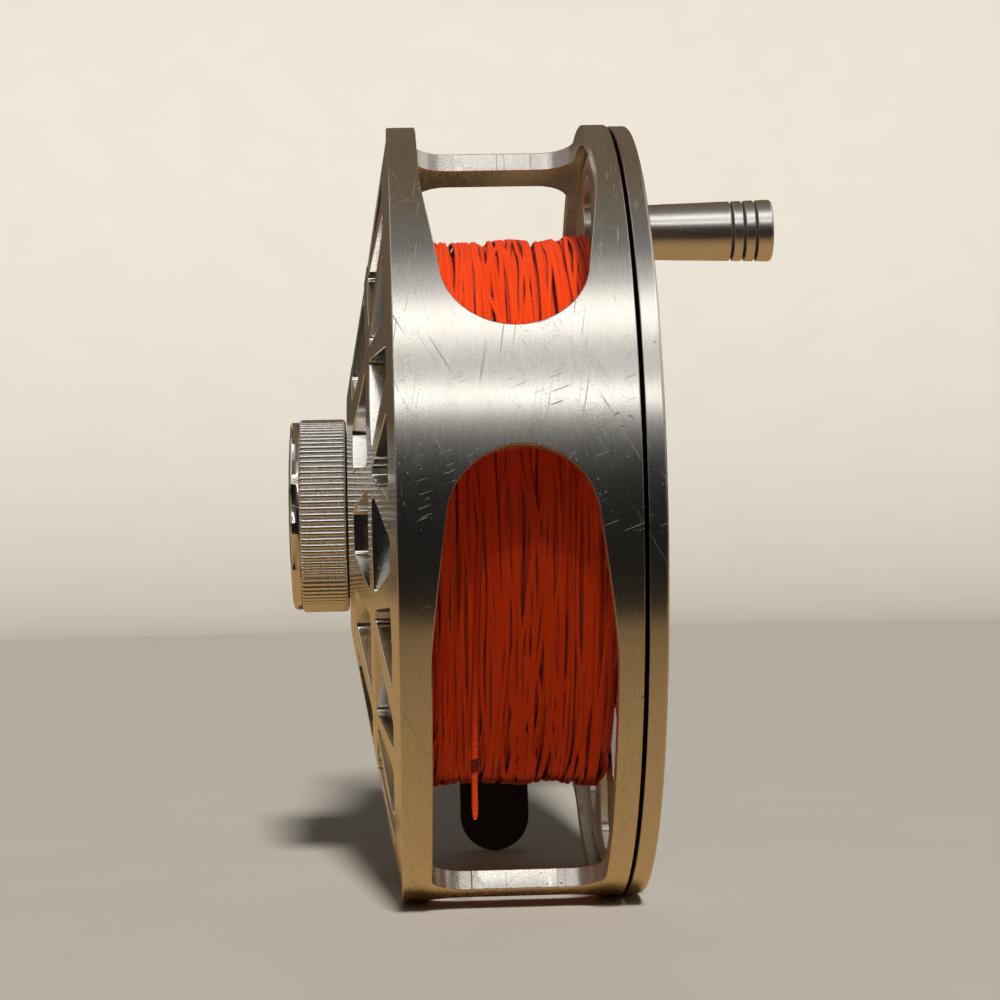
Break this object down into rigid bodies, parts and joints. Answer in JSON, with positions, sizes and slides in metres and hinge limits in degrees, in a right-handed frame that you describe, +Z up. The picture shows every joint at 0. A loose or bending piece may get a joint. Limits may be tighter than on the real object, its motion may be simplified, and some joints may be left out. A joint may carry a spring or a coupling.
{
  "type": "line reel",
  "caption": "Large-arbor line reel: caged frame with openwork back, sealed disc drag with ribbed knob, ported spool of braided line, palming rim and crank handle.",
  "frame": {"origin": "centre of the bounding box in X and Y, at the lowest point, where the rim stands", "axes": "+X along the spool axis from the drag knob towards the handle, +Y towards the reel foot, +Z up"},
  "size_m": [0.0626, 0.1128, 0.095],
  "materials": {
    "polished_aluminium": "machined, polished and brushed round the axis, with handling scratches",
    "satin_aluminium": "satin turned",
    "knob_aluminium": "bright, with straight ribs",
    "mirror_aluminium": "polished face",
    "steel": "turned stainless steel",
    "brass": "turned brass",
    "rubber": "matte black rubber",
    "black_anodised": "black anodised aluminium, satin",
    "friction_disc": "woven carbon friction material",
    "braided_line": "orange braided line"
  },
  "bodies": {
    "frame": {"frame": "polished_aluminium", "reel_foot": "black_anodised", "foot_screws": "steel", "spindle": "steel", "spindle_nut": "steel", "knob_screw": "steel", "drag_springs": "steel", "drag_plates": "steel", "drag_cover": "satin_aluminium", "cover_snap_ring": "steel", "drag_seal": "rubber", "pawl_pins": "steel", "pawl_spring": "steel"},
    "drag_knob": {"drag_knob": "knob_aluminium", "knob_face": "mirror_aluminium", "knob_o_ring": "rubber"},
    "knob_nut": {"knob_nut": "brass"},
    "pressure_plate": {"thrust_washer": "steel", "push_pins": "steel", "pressure_plate": "steel"},
    "click_pawl": {"click_pawl": "steel"},
    "clutch_hub": {"clutch_hub": "steel", "hub_bearings": "steel", "friction_discs": "friction_disc", "spool_cap": "mirror_aluminium", "cap_o_ring": "rubber"},
    "spool": {"spool": "satin_aluminium", "roller_clutch": "steel", "spool_bearing": "steel", "click_ring": "steel", "handle_screw": "steel", "handle_washer": "steel", "counterweight": "steel", "counterweight_screw": "steel", "line_pack": "braided_line", "line_end": "braided_line"},
    "handle": {"handle": "mirror_aluminium", "handle_bushes": "brass"}
  },
  "joints": [
    {"name": "knob_turn", "type": "hinge", "parent": "frame", "child": "drag_knob", "pos_m": [-0.0264, -0.00892, 0.0475], "axis": [1, 0, 0], "range_deg": [0, 330]},
    {"name": "nut_travel", "type": "slide", "parent": "drag_knob", "child": "knob_nut", "axis": [1, 0, 0], "range_m": [0, 0.0006]},
    {"name": "plate_travel", "type": "slide", "parent": "frame", "child": "pressure_plate", "axis": [1, 0, 0], "range_m": [0, 0.0006], "deforming": ["drag_springs"]},
    {"name": "pawl_swing", "type": "hinge", "parent": "frame", "child": "click_pawl", "pos_m": [-0.0086, -0.01175, 0.06355], "axis": [-1, 0, 0], "range_deg": [0, 6], "stiffness_Nm_per_rad": 0.01, "springref_deg": -8.59, "deforming": ["pawl_spring"]},
    {"name": "drag_slip", "type": "hinge", "parent": "frame", "child": "clutch_hub", "pos_m": [-0.0074, -0.00892, 0.0475], "axis": [1, 0, 0], "continuous": true},
    {"name": "spool_spin", "type": "hinge", "parent": "clutch_hub", "child": "spool", "pos_m": [-0.0034, -0.00892, 0.0475], "axis": [1, 0, 0], "continuous": true},
    {"name": "handle_spin", "type": "hinge", "parent": "spool", "child": "handle", "pos_m": [0.0196, 0.00414, 0.0834], "axis": [1, 0, 0], "continuous": true}
  ],
  "couplings": [
    {"joint": "knob_turn", "follows": "nut_travel", "rad_per_m": 9599.3},
    {"joint": "plate_travel", "follows": "nut_travel", "ratio": 1}
  ]
}
